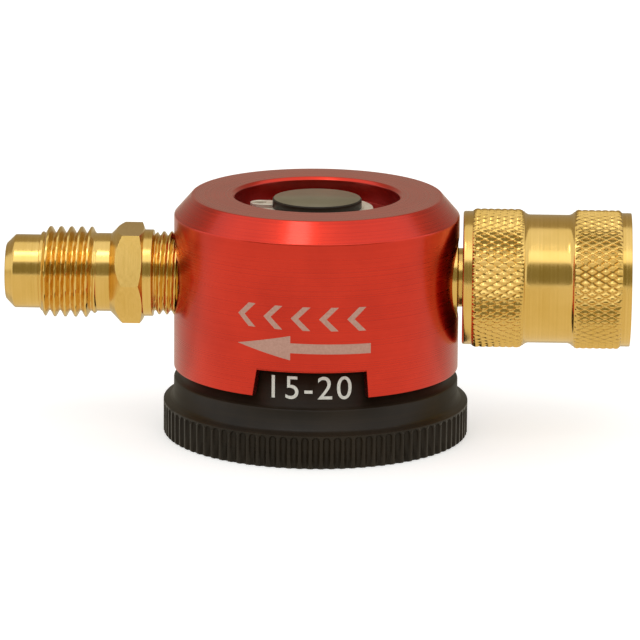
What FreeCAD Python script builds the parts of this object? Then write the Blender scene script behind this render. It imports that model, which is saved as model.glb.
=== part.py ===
import FreeCAD, Part
import math
import os

"""Rotary nitrogen flow regulator: a red turned body, a ribbed dial below it that
turns a spool with three jets, a flare outlet on -X and a swivel inlet nut on +X.

The origin is the centre of the dial's bottom face and +Z is up along the spool.
The front, with the window, is -Y. All sizes are in millimetres."""

V = FreeCAD.Vector

# Body
BODY_R = 17.47
TOP_CHAMFER_RADIAL = 2.16
TOP_CHAMFER_AXIAL = 2.48
RECESS_R = 10.08
RECESS_DEPTH = 2.66
RECESS_EDGE = 0.35
TOP_WEB = 1.50
SKIRT_WALL = 1.12
BOSS_LAND = 4.40
EDGE_BREAK = 0.15
WINDOW_WIDTH = 13.24
WINDOW_OFFSET = 0.00
WINDOW_HEIGHT = 3.25
WINDOW_LEFT_LEAN = 0.49
WINDOW_RIGHT_LEAN = 0.24

# Selector dial, from the bottom up and from the collar inwards
GRIP_STEP = 1.28
GRIP_HEIGHT = 4.10
GRIP_SLOPE = 0.49
GRIP_FOOT_CHAMFER = 0.20
COLLAR_HEIGHT = 2.43
COLLAR_TO_BODY = 1.30
DIAL_FLOOR = 4.60
DIAL_RIBS = 90
RIB_GROOVE_R = 0.46
RIB_DEPTH = 0.42
RIB_TOP_LAND = 0.15
LABEL_WALL = 1.10
LABEL_WALL_GAP = 0.25
LABEL_WALL_OVERLAP = 0.33
BOSS_GAP = 0.30

# Gaps of the turning fits and the loose ones
RUNNING_GAP = 0.05
SHOULDER_GAP = 0.30
THREAD_GAP = 0.03

# Spool and what holds it
SPOOL_R = 6.50
JOURNAL_R = 5.46
JOURNAL_END = 1.12
FLANGE_THICKNESS = 2.50
SPIGOT_R = 4.00
SPIGOT_DEPTH = 1.00
WASHER_THICKNESS = 1.00

# Retaining ring on the journal
CIRCLIP_THICKNESS = 1.00
CIRCLIP_SEAT_DEPTH = 0.21
CIRCLIP_WIDE = 1.65
CIRCLIP_NARROW = 1.10
CIRCLIP_ANGLE = 178.0
CIRCLIP_GAP = 2.20
LUG_R = 1.20
LUG_RISE = 3.30
LUG_HOLE_R = 0.80

# Rubber rings round the spool
SPOOL_RING_WIRE = 1.40
SPOOL_RING_SQUEEZE = 0.08
LOWER_RING_DROP = 7.00
UPPER_RING_DROP = 1.30
RING_GROOVE_SPARE = 0.20

# Ports
PORT_THREAD_R = 5.12
PORT_FLOOR = 2.28
PORT_TO_TOP = 10.16
POCKET_R = 3.00
PASSAGE_R = 2.40
TAIL_CHAMFER = 0.40

# Stations of the dial and the jets that face the inlet there
STATION_ANGLE = 60.0
JETS = {"jet_small": (60.0, 0.30), "jet_medium": (0.0, 0.55), "jet_large": (-60.0, 0.95)}
JET_R = 1.60
JET_FUNNEL_R = 1.20
JET_LENGTH = 2.20
JET_DEPTH = 0.40
JET_GAP = 0.03
JET_SLOT = 0.40
SPOOL_PASSAGE_R = 1.20
OUTLET_PASSAGE_R = 1.50

# Seats that press on the spool
SEAT_LENGTH = 3.20
SEAT_BORE_R = 1.30
SEAT_RING_WIRE = 0.90
SEAT_RING_SQUEEZE = 0.03
SEAT_RING_SETBACK = 0.80
SEAT_SPRING_R = 2.58
SEAT_SPRING_WIRE = 0.34
SEAT_SPRING_TURNS = 2.5
SEAT_SPRING_ROOM = 1.72

# Detent and stop, on one circle in the floor of the dial
DETENT_ANGLE = 90.0
BALL_R = 1.20
BALL_LIFT = 0.25
TRACK_GAP = 0.15
DIMPLE_GAP = 0.30
DETENT_SPRING_R = 0.85
DETENT_SPRING_WIRE = 0.32
DETENT_SPRING_TURNS = 6.0
DETENT_SPRING_LENGTH = 4.50
STOP_ANGLE = 270.0
STOP_PIN_R = 1.00
STOP_PIN_REACH = 1.20
STOP_PIN_LENGTH = 6.00
STOP_SLOT_GAP = 0.15
STOP_SLOT_DEPTH = 1.80

# Screws from the dial into the spool's flange
SCREW_COUNT = 3
SCREW_ANGLE = 30.0
SCREW_R = 1.25
SCREW_HEAD_R = 2.30
SCREW_SET_IN = 0.15
SCREW_HEAD_GAP = 0.04
SCREW_HOLE_GAP = 0.10
SCREW_SOCKET = 1.50
SCREW_SOCKET_DEPTH = 1.00
SCREW_END_SPARE = 0.25

# Flare outlet, from the body's side outwards
FLARE_PIPE_THREAD = 2.53
FLARE_SHOULDER = 1.10
FLARE_SHOULDER_R = 5.32
FLARE_HEX = 2.55
FLARE_HEX_FLATS = 11.11
FLARE_HEX_CHAMFER = 0.45
FLARE_HEX_TURN = 3.0
FLARE_CONE = 1.55
FLARE_RELIEF = 2.15
FLARE_RELIEF_R = 4.80
FLARE_THREAD = 6.45
FLARE_THREAD_R = 5.556
FLARE_THREAD_DEPTH = 0.70
FLARE_NOSE = 4.30
FLARE_NOSE_R = 4.51
FLARE_NOSE_CHAMFER = 1.11

# Inlet stem, from the body's side outwards
STEM_NECK = 1.53
STEM_NECK_R = 3.60
STEM_BARREL = 8.00
STEM_BARREL_R = 4.75
STEM_SEAT_R = 4.20
GASKET_THICKNESS = 0.60
FILTER_R = 2.95
FILTER_LENGTH = 3.00
FILTER_GAP = 0.03

# Swivel nut and the wire ring that holds it on the stem
NUT_STANDOFF = 0.45
NUT_LENGTH = 20.55
NUT_LAND = 1.20
NUT_LAND_DROP = 0.32
NUT_FIRST_KNURL = 6.15
NUT_KNURL_R = 8.50
NUT_WAIST = 4.50
NUT_WAIST_DROP = 0.64
NUT_WAIST_FILLET = 0.95
NUT_MOUTH_ROUNDING = 0.60
NUT_BORE_GAP = 0.07
NUT_THREAD = 10.03
NUT_THREAD_MINOR_R = 4.95
NUT_UNDERCUT = 1.20
NUT_UNDERCUT_DEPTH = 0.70
NUT_MOUTH_CHAMFER = 0.60
SWIVEL_RING_SETBACK = 4.58
SWIVEL_RING_WIRE_R = 0.45
SWIVEL_RING_GAP = 0.10

# How far a cutter passes the face it goes through
CUTTER_SPARE = 1.00

# Radii worked out from the sizes above, from the body's side inwards
DIAL_COLLAR_R = BODY_R
DIAL_GRIP_R = DIAL_COLLAR_R + GRIP_STEP
SKIRT_INNER_R = BODY_R - SKIRT_WALL
LABEL_WALL_R = SKIRT_INNER_R - LABEL_WALL_GAP
LABEL_WALL_INNER_R = LABEL_WALL_R - LABEL_WALL
BOSS_R = LABEL_WALL_INNER_R - BOSS_GAP
DETENT_CIRCLE_R = BOSS_R - BOSS_LAND / 2
COUNTERBORE_R = BOSS_R - BOSS_LAND
FLANGE_R = COUNTERBORE_R - SHOULDER_GAP
SCREW_CIRCLE_R = (FLANGE_R + SPIGOT_R) / 2
SPOOL_BORE_R = SPOOL_R + RUNNING_GAP
JOURNAL_BORE_R = JOURNAL_R + RUNNING_GAP
CIRCLIP_INNER_R = JOURNAL_R - CIRCLIP_SEAT_DEPTH
LUG_REACH = JOURNAL_R + LUG_RISE
NUT_BORE_R = STEM_BARREL_R + NUT_BORE_GAP
NUT_LAND_R = NUT_KNURL_R - NUT_LAND_DROP
NUT_WAIST_R = NUT_KNURL_R - NUT_WAIST_DROP

# Heights worked out from the sizes above, from the bottom up
COLLAR_BASE = GRIP_HEIGHT + GRIP_SLOPE
COLLAR_TOP = COLLAR_BASE + COLLAR_HEIGHT
BODY_BOTTOM = COLLAR_TOP + COLLAR_TO_BODY
BOSS_BOTTOM = DIAL_FLOOR + SHOULDER_GAP
BALL_CENTRE = BOSS_BOTTOM + BALL_LIFT
FLANGE_TOP = DIAL_FLOOR + FLANGE_THICKNESS
COUNTERBORE_TOP = FLANGE_TOP + WASHER_THICKNESS + 2 * RUNNING_GAP
LABEL_WALL_TOP = BODY_BOTTOM + WINDOW_HEIGHT + LABEL_WALL_OVERLAP
SKIRT_GROOVE_TOP = LABEL_WALL_TOP + BOSS_GAP
PORT_Z = SKIRT_GROOVE_TOP + PORT_FLOOR + PORT_THREAD_R
BODY_TOP = PORT_Z + PORT_TO_TOP
RECESS_FLOOR = BODY_TOP - RECESS_DEPTH
SPOOL_TOP = RECESS_FLOOR - TOP_WEB
CIRCLIP_BOTTOM = RECESS_FLOOR + RUNNING_GAP
CIRCLIP_TOP = CIRCLIP_BOTTOM + CIRCLIP_THICKNESS
JOURNAL_TOP = CIRCLIP_TOP + RUNNING_GAP + JOURNAL_END
SPOOL_RINGS = {
    "spool_o_ring_lower": PORT_Z - LOWER_RING_DROP,
    "spool_o_ring_upper": SPOOL_TOP - UPPER_RING_DROP,
}

# Distances along the ports worked out from the sizes above
SEAT_BACK = SPOOL_BORE_R + SEAT_LENGTH
SEAT_RING_MIDDLE = SEAT_BACK - SEAT_RING_SETBACK
PORT_BOTTOM = SEAT_BACK + SEAT_SPRING_ROOM
TAIL_END = PORT_BOTTOM + SHOULDER_GAP
STEM_END = BODY_R + STEM_NECK + STEM_BARREL
NUT_START = BODY_R + NUT_STANDOFF
NUT_END = NUT_START + NUT_LENGTH
SWIVEL_RING_X = NUT_START + SWIVEL_RING_SETBACK


def cylinder_z(radius, low, high, x=0.0, y=0.0):
    """A cylinder along Z between two heights."""
    return Part.makeCylinder(radius, high - low, V(x, y, low))


def cylinder_x(radius, start, end):
    """A cylinder on the port axis between two distances along X."""
    return Part.makeCylinder(radius, end - start, V(start, 0, PORT_Z), V(1, 0, 0))


def face_within(outline, place):
    """The face inside an outline. Each entry is a point, or a pair of points for an
    arc through the first to the second, and place turns a point into a vector."""
    edges = []
    here = place(*outline[0])
    for entry in outline[1:] + outline[:1]:
        if isinstance(entry[0], tuple):
            through, there = place(*entry[0]), place(*entry[1])
            edges.append(Part.Arc(here, through, there).toShape())
        else:
            there = place(*entry)
            edges.append(Part.makeLine(here, there))
        here = there
    return Part.Face(Part.Wire(edges))


def turned(outline):
    """A solid turned about Z from an outline of (radius, height)."""
    face = face_within(outline, lambda radius, height: V(radius, 0, height))
    return upright(face.revolve(V(0, 0, 0), V(0, 0, 1), 360))


def turned_on_port(outline):
    """A solid turned about the port axis from an outline of (distance, radius)."""
    face = face_within(outline, lambda distance, radius: V(distance, 0, PORT_Z + radius))
    return upright(face.revolve(V(0, 0, PORT_Z), V(1, 0, 0), 360))


def port_ring(wire_r, distance, mean_r):
    """A round ring about the port axis."""
    return Part.makeTorus(mean_r, wire_r, V(distance, 0, PORT_Z), V(1, 0, 0))


def upright(solid):
    """The same solid with its faces turned outwards."""
    if solid.Volume < 0:
        solid.reverse()
    return solid


def mirrored(shape):
    """The shape on the other side of the spool's axis."""
    return shape.mirror(V(0, 0, 0), V(1, 0, 0))


def on_circle(radius, angle):
    """The x and y of a point on a circle about Z, the angle in degrees from +X."""
    turn = math.radians(angle)
    return radius * math.cos(turn), radius * math.sin(turn)


def rubber_ring(mean_r, wire, inner_r, outer_r, middle, along_port=False):
    """An O-ring whose round section is flattened between two cylinders."""
    axis = V(1, 0, 0) if along_port else V(0, 0, 1)
    centre = V(middle, 0, PORT_Z) if along_port else V(0, 0, middle)
    ring = Part.makeTorus(mean_r, wire / 2, centre, axis)
    shell = Part.makeCylinder(outer_r, 2 * wire, centre - axis * wire, axis)
    core = Part.makeCylinder(inner_r, 4 * wire, centre - axis * 2 * wire, axis)
    return ring.common(shell.cut(core))


def coil(mean_r, wire, length, turns):
    """A wound spring along Z from the origin, of the given overall length."""
    rise = length - wire
    path = Part.makeHelix(rise / turns, rise, mean_r)
    section = Part.Wire(Part.makeCircle(wire / 2, V(mean_r, 0, 0), V(0, 1, 0)))
    spring = Part.Wire(path.Edges).makePipeShell([section], True, True)
    spring.translate(V(0, 0, wire / 2))
    return upright(spring)


def groove_arc(radius, height, wire_r, middle, half_angle):
    """A round-bottomed groove along part of a circle about Z, with round ends."""
    start = middle - half_angle
    section = Part.Face(Part.Wire(Part.makeCircle(wire_r, V(radius, 0, height), V(0, 1, 0))))
    section.rotate(V(0, 0, 0), V(0, 0, 1), start)
    groove = section.revolve(V(0, 0, 0), V(0, 0, 1), 2 * half_angle)
    for angle in (start, start + 2 * half_angle):
        x, y = on_circle(radius, angle)
        groove = groove.fuse(Part.makeSphere(wire_r, V(x, y, height)))
    return groove


def slot_arc(radius, low, high, half_width, middle, half_angle):
    """A flat-bottomed slot along part of a circle about Z, with round ends."""
    start = middle - half_angle
    ring = Part.makeCylinder(
        radius + half_width, high - low, V(0, 0, low), V(0, 0, 1), 2 * half_angle)
    ring = ring.cut(cylinder_z(radius - half_width, low, high))
    ring.rotate(V(0, 0, 0), V(0, 0, 1), start)
    for angle in (start, start + 2 * half_angle):
        x, y = on_circle(radius, angle)
        ring = ring.fuse(cylinder_z(half_width, low, high, x, y))
    return ring


def ring_groove(middle):
    """The groove for an O-ring round the spool, cut from its barrel."""
    half = SPOOL_RING_WIRE / 2 + RING_GROOVE_SPARE
    outer = cylinder_z(SPOOL_R + CUTTER_SPARE, middle - half, middle + half)
    return outer.cut(cylinder_z(ring_root_r(), middle - half, middle + half))


def ring_root_r():
    """The radius at the bottom of an O-ring groove in the spool."""
    return SPOOL_BORE_R - SPOOL_RING_WIRE + 2 * SPOOL_RING_SQUEEZE


def body():
    """The red body: skirt, boss, bores, ports, window and top recess."""
    top_r = BODY_R - TOP_CHAMFER_RADIAL
    block = turned([
        (0, BOSS_BOTTOM),
        (BOSS_R - EDGE_BREAK, BOSS_BOTTOM),
        (BOSS_R, BOSS_BOTTOM + EDGE_BREAK),
        (BOSS_R, SKIRT_GROOVE_TOP),
        (SKIRT_INNER_R, SKIRT_GROOVE_TOP),
        (SKIRT_INNER_R, BODY_BOTTOM),
        (BODY_R - EDGE_BREAK, BODY_BOTTOM),
        (BODY_R, BODY_BOTTOM + EDGE_BREAK),
        (BODY_R, BODY_TOP - TOP_CHAMFER_AXIAL),
        (top_r, BODY_TOP),
        (RECESS_R + RECESS_EDGE, BODY_TOP),
        (RECESS_R, BODY_TOP - RECESS_EDGE),
        (RECESS_R, RECESS_FLOOR),
        (0, RECESS_FLOOR),
    ])
    cuts = [
        cylinder_z(COUNTERBORE_R, BOSS_BOTTOM - CUTTER_SPARE, COUNTERBORE_TOP),
        cylinder_z(SPOOL_BORE_R, BOSS_BOTTOM, SPOOL_TOP + RUNNING_GAP),
        cylinder_z(JOURNAL_BORE_R, SPOOL_TOP, RECESS_FLOOR + CUTTER_SPARE),
        cylinder_x(POCKET_R, -PORT_BOTTOM - CUTTER_SPARE, PORT_BOTTOM + CUTTER_SPARE),
        cylinder_x(PORT_THREAD_R + THREAD_GAP, PORT_BOTTOM, BODY_R + CUTTER_SPARE),
        cylinder_x(PORT_THREAD_R + THREAD_GAP, -BODY_R - CUTTER_SPARE, -PORT_BOTTOM),
        window_cutter(),
    ]
    ball_x, ball_y = on_circle(DETENT_CIRCLE_R, DETENT_ANGLE)
    spring_top = BALL_CENTRE + BALL_R + DETENT_SPRING_LENGTH
    cuts.append(cylinder_z(
        BALL_R + RUNNING_GAP, BOSS_BOTTOM - CUTTER_SPARE, spring_top + RUNNING_GAP, ball_x, ball_y))
    pin_x, pin_y = on_circle(DETENT_CIRCLE_R, STOP_ANGLE)
    pin_top = BOSS_BOTTOM - STOP_PIN_REACH + STOP_PIN_LENGTH
    cuts.append(cylinder_z(
        STOP_PIN_R + THREAD_GAP, BOSS_BOTTOM - CUTTER_SPARE, pin_top + RUNNING_GAP, pin_x, pin_y))
    return block.cut(cuts)


def window_cutter():
    """The block that opens the window in the front of the skirt, up from its lower edge.
    Its sides lean outwards on their way down."""
    left = WINDOW_OFFSET - WINDOW_WIDTH / 2
    right = WINDOW_OFFSET + WINDOW_WIDTH / 2
    low = BODY_BOTTOM - CUTTER_SPARE
    high = BODY_BOTTOM + WINDOW_HEIGHT
    longer = (high - low) / WINDOW_HEIGHT
    outline = [
        (left, high),
        (right, high),
        (right + WINDOW_RIGHT_LEAN * longer, low),
        (left - WINDOW_LEFT_LEAN * longer, low),
    ]
    depth = BODY_R + CUTTER_SPARE
    face = face_within(outline, lambda across, height: V(across, -depth, height))
    core_r = SKIRT_INNER_R - LABEL_WALL_GAP
    return face.extrude(V(0, depth, 0)).cut(cylinder_z(core_r, low, BODY_TOP))


def dial_profile():
    """The dial's outline over the crests of its ribs."""
    return [
        (0, 0),
        (DIAL_GRIP_R - GRIP_FOOT_CHAMFER, 0),
        (DIAL_GRIP_R, GRIP_FOOT_CHAMFER),
        (DIAL_GRIP_R, GRIP_HEIGHT),
        (DIAL_COLLAR_R, COLLAR_BASE),
        (DIAL_COLLAR_R, COLLAR_TOP - EDGE_BREAK),
        (DIAL_COLLAR_R - EDGE_BREAK, COLLAR_TOP),
        (LABEL_WALL_R, COLLAR_TOP),
        (LABEL_WALL_R, LABEL_WALL_TOP),
        (LABEL_WALL_INNER_R, LABEL_WALL_TOP),
        (LABEL_WALL_INNER_R, DIAL_FLOOR),
        (0, DIAL_FLOOR),
    ]


def rib_grooves():
    """The round grooves between the ribs, open at the foot and with round tops."""
    centre_r = DIAL_GRIP_R - RIB_DEPTH + RIB_GROOVE_R
    round_centre = GRIP_HEIGHT - RIB_TOP_LAND - RIB_GROOVE_R
    corner = RIB_GROOVE_R * math.sqrt(0.5)
    groove = turned([
        (0, -CUTTER_SPARE),
        (RIB_GROOVE_R, -CUTTER_SPARE),
        (RIB_GROOVE_R, round_centre),
        ((corner, round_centre + corner), (0, round_centre + RIB_GROOVE_R)),
    ])
    grooves = []
    for index in range(DIAL_RIBS):
        x, y = on_circle(centre_r, index * 360.0 / DIAL_RIBS)
        grooves.append(groove.translated(V(x, y, 0)))
    return grooves


def selector_dial():
    """The dial: ribbed grip, collar, label wall, floor with track, slot and screw holes."""
    dial = turned(dial_profile())
    ball_x, ball_y = on_circle(DETENT_CIRCLE_R, DETENT_ANGLE)
    dimples = [DETENT_ANGLE - STATION_ANGLE, DETENT_ANGLE, DETENT_ANGLE + STATION_ANGLE]
    cuts = [
        groove_arc(
            DETENT_CIRCLE_R, BALL_CENTRE, BALL_R + TRACK_GAP, DETENT_ANGLE, STATION_ANGLE),
        slot_arc(
            DETENT_CIRCLE_R, DIAL_FLOOR - STOP_SLOT_DEPTH, DIAL_FLOOR + CUTTER_SPARE,
            STOP_PIN_R + STOP_SLOT_GAP, STOP_ANGLE, STATION_ANGLE),
        cylinder_z(
            SPIGOT_R + RUNNING_GAP, DIAL_FLOOR - SPIGOT_DEPTH - RUNNING_GAP,
            DIAL_FLOOR + CUTTER_SPARE),
    ]
    for angle in dimples:
        x, y = on_circle(DETENT_CIRCLE_R, angle)
        cuts.append(Part.makeSphere(BALL_R + DIMPLE_GAP, V(x, y, BALL_CENTRE)))
    for x, y in screw_places():
        cuts.append(cylinder_z(
            SCREW_R + SCREW_HOLE_GAP, -CUTTER_SPARE, DIAL_FLOOR + CUTTER_SPARE, x, y))
        cuts.append(screw_head(x, y, SCREW_HEAD_GAP))
        cuts.append(cylinder_z(
            SCREW_HEAD_R + SCREW_HEAD_GAP, -CUTTER_SPARE, SCREW_SET_IN, x, y))
    return dial.cut(cuts + rib_grooves())


def screw_places():
    """Where the screws stand, as x and y."""
    step = 360.0 / SCREW_COUNT
    return [on_circle(SCREW_CIRCLE_R, SCREW_ANGLE + step * index) for index in range(SCREW_COUNT)]


def screw_head(x, y, gap=0.0):
    """A countersunk head, or the seat for one with a gap round it."""
    head_r = SCREW_HEAD_R + gap
    shank_r = SCREW_R + gap
    return Part.makeCone(head_r, shank_r, head_r - shank_r, V(x, y, SCREW_SET_IN))


def dial_screws():
    """The screws, each one solid with a hexagon socket."""
    screws = []
    for x, y in screw_places():
        shank_top = FLANGE_TOP - SCREW_END_SPARE
        screw = screw_head(x, y).fuse(
            cylinder_z(SCREW_R, SCREW_SET_IN, shank_top, x, y))
        socket = hexagon(
            SCREW_SOCKET, V(x, y, SCREW_SET_IN - CUTTER_SPARE), V(0, 0, 1), V(1, 0, 0),
            CUTTER_SPARE + SCREW_SOCKET_DEPTH)
        screws.append(screw.cut(socket).removeSplitter())
    return Part.makeCompound(screws)


def hexagon(flats, centre, axis, corner, length):
    """A hexagonal bar from a centre along an axis, with a corner in a given direction."""
    corner_r = flats / math.sqrt(3)
    points = []
    for index in range(7):
        turned_corner = FreeCAD.Rotation(axis, 60 * index).multVec(corner)
        points.append(centre + turned_corner * corner_r)
    return Part.Face(Part.makePolygon(points)).extrude(axis * length)


def selector_spool():
    """The spindle: flange, barrel with seal grooves and passages, journal with clip groove."""
    spool = turned([
        (0, DIAL_FLOOR - SPIGOT_DEPTH),
        (SPIGOT_R, DIAL_FLOOR - SPIGOT_DEPTH),
        (SPIGOT_R, DIAL_FLOOR),
        (FLANGE_R, DIAL_FLOOR),
        (FLANGE_R, FLANGE_TOP),
        (SPOOL_R, FLANGE_TOP),
        (SPOOL_R, SPOOL_TOP),
        (JOURNAL_R, SPOOL_TOP),
        (JOURNAL_R, CIRCLIP_BOTTOM - RUNNING_GAP),
        (CIRCLIP_INNER_R, CIRCLIP_BOTTOM - RUNNING_GAP),
        (CIRCLIP_INNER_R, CIRCLIP_TOP + RUNNING_GAP),
        (JOURNAL_R, CIRCLIP_TOP + RUNNING_GAP),
        (JOURNAL_R, JOURNAL_TOP - EDGE_BREAK),
        (JOURNAL_R - EDGE_BREAK, JOURNAL_TOP),
        (0, JOURNAL_TOP),
    ])
    cuts = [ring_groove(middle) for middle in SPOOL_RINGS.values()]
    for angle, _ in JETS.values():
        direction = V(*on_circle(1.0, angle), 0)
        centre = V(0, 0, PORT_Z)
        seat_end = SPOOL_R - JET_DEPTH - JET_LENGTH
        cuts.append(Part.makeCylinder(
            JET_R + JET_GAP, SPOOL_R, centre + direction * seat_end, direction))
        cuts.append(Part.makeCylinder(SPOOL_PASSAGE_R, SPOOL_R, centre, direction))
        cuts.append(Part.makeCylinder(
            OUTLET_PASSAGE_R, SPOOL_R + CUTTER_SPARE, centre, -direction))
    for x, y in screw_places():
        cuts.append(cylinder_z(
            SCREW_R + THREAD_GAP, DIAL_FLOOR - CUTTER_SPARE, FLANGE_TOP - SCREW_END_SPARE / 2,
            x, y))
    return spool.cut(cuts)


def jet(angle, bore_r):
    """A slotted brass plug with a metering hole, in its place in the spool."""
    inner = SPOOL_R - JET_DEPTH - JET_LENGTH
    outer = SPOOL_R - JET_DEPTH
    plug = cylinder_x(JET_R, inner + RUNNING_GAP, outer)
    depth = JET_FUNNEL_R - bore_r
    funnel = Part.makeCone(
        bore_r, JET_FUNNEL_R, depth, V(outer - depth, 0, PORT_Z), V(1, 0, 0))
    slot = Part.makeBox(
        JET_SLOT * 2, 4 * JET_R, JET_SLOT, V(outer - JET_SLOT, -2 * JET_R, PORT_Z - JET_SLOT / 2))
    plug = plug.cut([cylinder_x(bore_r, 0, SPOOL_R), funnel, slot])
    plug.rotate(V(0, 0, 0), V(0, 0, 1), angle)
    return plug


def circlip():
    """An external retaining ring, wide opposite its two eyes."""
    outer_r = (CIRCLIP_WIDE + CIRCLIP_NARROW) / 2 + CIRCLIP_INNER_R
    offset = (CIRCLIP_WIDE - CIRCLIP_NARROW) / 2
    low, high = CIRCLIP_BOTTOM, CIRCLIP_TOP
    ring = cylinder_z(outer_r, low, high, -offset, 0)
    eye_r = LUG_REACH - LUG_R
    eye_y = CIRCLIP_GAP / 2 + LUG_R
    eye_x = math.sqrt(eye_r ** 2 - eye_y ** 2)
    holes = []
    for side in (-1, 1):
        eye = cylinder_z(LUG_R, low, high, eye_x, side * eye_y)
        neck = Part.makeBox(eye_x, 2 * LUG_R, CIRCLIP_THICKNESS, V(0, side * eye_y - LUG_R, low))
        ring = ring.fuse(eye).fuse(neck)
        holes.append(cylinder_z(
            LUG_HOLE_R, low - CUTTER_SPARE, high + CUTTER_SPARE, eye_x, side * eye_y))
    gap = Part.makeBox(
        2 * LUG_REACH, CIRCLIP_GAP, 3 * CIRCLIP_THICKNESS,
        V(0, -CIRCLIP_GAP / 2, low - CIRCLIP_THICKNESS))
    shaft = cylinder_z(CIRCLIP_INNER_R + THREAD_GAP, low - CUTTER_SPARE, high + CUTTER_SPARE)
    clip = ring.cut([gap, shaft] + holes).removeSplitter()
    clip.rotate(V(0, 0, 0), V(0, 0, 1), CIRCLIP_ANGLE)
    return clip


def thrust_washer():
    """The plastic washer between the spool's flange and the body."""
    low = FLANGE_TOP + RUNNING_GAP
    high = low + WASHER_THICKNESS
    washer = cylinder_z(FLANGE_R, low, high)
    return washer.cut(cylinder_z(
        SPOOL_R + 2 * RUNNING_GAP, low - CUTTER_SPARE, high + CUTTER_SPARE))


def spool_o_ring(middle):
    """A rubber ring round the spool."""
    inner = ring_root_r()
    outer = SPOOL_BORE_R - RUNNING_GAP / 2
    return rubber_ring((inner + outer) / 2, SPOOL_RING_WIRE, inner, outer, middle)


def seat():
    """The inlet's seat: a sleeve with a saddle face on the spool and a ring groove."""
    start = math.sqrt(SPOOL_BORE_R ** 2 - POCKET_R ** 2)
    half = (SEAT_RING_WIRE + RING_GROOVE_SPARE) / 2
    low, high = SEAT_RING_MIDDLE - half, SEAT_RING_MIDDLE + half
    groove = cylinder_x(POCKET_R + CUTTER_SPARE, low, high)
    groove = groove.cut(cylinder_x(seat_ring_root_r(), low, high))
    return cylinder_x(POCKET_R - RUNNING_GAP, start, SEAT_BACK).cut([
        cylinder_x(SEAT_BORE_R, start - CUTTER_SPARE, SEAT_BACK + CUTTER_SPARE),
        cylinder_z(SPOOL_BORE_R, 0, BODY_TOP),
        groove,
    ])


def seat_ring_root_r():
    """The radius at the bottom of the groove round a seat."""
    return POCKET_R - SEAT_RING_WIRE + 2 * SEAT_RING_SQUEEZE


def seat_o_ring():
    """The rubber ring round the inlet's seat."""
    inner = seat_ring_root_r()
    return rubber_ring(
        (inner + POCKET_R) / 2, SEAT_RING_WIRE, inner, POCKET_R - RUNNING_GAP / 2,
        SEAT_RING_MIDDLE, True)


def seat_spring():
    """The spring that presses the inlet's seat on the spool."""
    start = SEAT_BACK + RUNNING_GAP
    length = TAIL_END - RUNNING_GAP - start
    spring = coil(SEAT_SPRING_R, SEAT_SPRING_WIRE, length, SEAT_SPRING_TURNS)
    spring.rotate(V(0, 0, 0), V(0, 1, 0), 90)
    spring.translate(V(start, 0, PORT_Z))
    return spring


def flare_fitting():
    """The outlet: flare nose, thread, hexagon, shoulder and tail, bored through."""
    shoulder = BODY_R + FLARE_PIPE_THREAD
    hex_near = shoulder + FLARE_SHOULDER
    hex_far = hex_near + FLARE_HEX
    relief = hex_far + FLARE_CONE
    thread_near = relief + FLARE_RELIEF
    thread_far = thread_near + FLARE_THREAD
    end = thread_far + FLARE_NOSE
    root_r = FLARE_THREAD_R - FLARE_THREAD_DEPTH
    turned_part = turned_on_port([
        (TAIL_END, 0),
        (TAIL_END, PORT_THREAD_R - TAIL_CHAMFER),
        (TAIL_END + TAIL_CHAMFER, PORT_THREAD_R),
        (shoulder, PORT_THREAD_R),
        (shoulder, FLARE_SHOULDER_R),
        (hex_near, FLARE_SHOULDER_R),
        (hex_near, FLARE_RELIEF_R),
        (thread_near - FLARE_THREAD_DEPTH, FLARE_RELIEF_R),
        (thread_near, FLARE_THREAD_R),
        (thread_far - FLARE_THREAD_DEPTH / 2, FLARE_THREAD_R),
        (thread_far, root_r),
        (thread_far + (root_r - FLARE_NOSE_R), FLARE_NOSE_R),
        (end - FLARE_NOSE_CHAMFER, FLARE_NOSE_R),
        (end, FLARE_NOSE_R - FLARE_NOSE_CHAMFER),
        (end, 0),
    ])
    corner_r = FLARE_HEX_FLATS / math.sqrt(3)
    corner = V(0, *on_circle(1, FLARE_HEX_TURN))
    bar = hexagon(
        FLARE_HEX_FLATS, V(hex_near, 0, PORT_Z), V(1, 0, 0), corner, relief - hex_near)
    envelope = turned_on_port([
        (hex_near, 0),
        (hex_near, FLARE_SHOULDER_R),
        (hex_near + FLARE_HEX_CHAMFER, corner_r),
        (hex_far, corner_r),
        (relief, FLARE_RELIEF_R),
        (relief, 0),
    ])
    fitting = turned_part.fuse(bar.common(envelope))
    bored = fitting.cut(cylinder_x(PASSAGE_R, 0, end + CUTTER_SPARE)).removeSplitter()
    return mirrored(bored)


def inlet_stem():
    """The inlet's stem: tail, neck, barrel with a ring groove and a conical seat."""
    shoulder = BODY_R - EDGE_BREAK
    barrel = BODY_R + STEM_NECK
    seat_start = STEM_END - (STEM_SEAT_R - PASSAGE_R)
    stem = turned_on_port([
        (TAIL_END, 0),
        (TAIL_END, PORT_THREAD_R - TAIL_CHAMFER),
        (TAIL_END + TAIL_CHAMFER, PORT_THREAD_R),
        (shoulder, PORT_THREAD_R),
        (shoulder, STEM_NECK_R),
        (barrel, STEM_NECK_R),
        (barrel, STEM_BARREL_R - EDGE_BREAK),
        (barrel + EDGE_BREAK, STEM_BARREL_R),
        (STEM_END, STEM_BARREL_R),
        (STEM_END, STEM_SEAT_R),
        (seat_start, PASSAGE_R),
        (seat_start, 0),
    ])
    return stem.cut([
        cylinder_x(PASSAGE_R, 0, STEM_END),
        cylinder_x(FILTER_R + FILTER_GAP, 0, TAIL_END + FILTER_LENGTH),
        port_ring(SWIVEL_RING_WIRE_R + SWIVEL_RING_GAP, SWIVEL_RING_X, NUT_BORE_R),
    ])


def inlet_filter():
    """The sintered bronze disc in the stem's tail."""
    return cylinder_x(FILTER_R, TAIL_END, TAIL_END + FILTER_LENGTH - FILTER_GAP)


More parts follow.
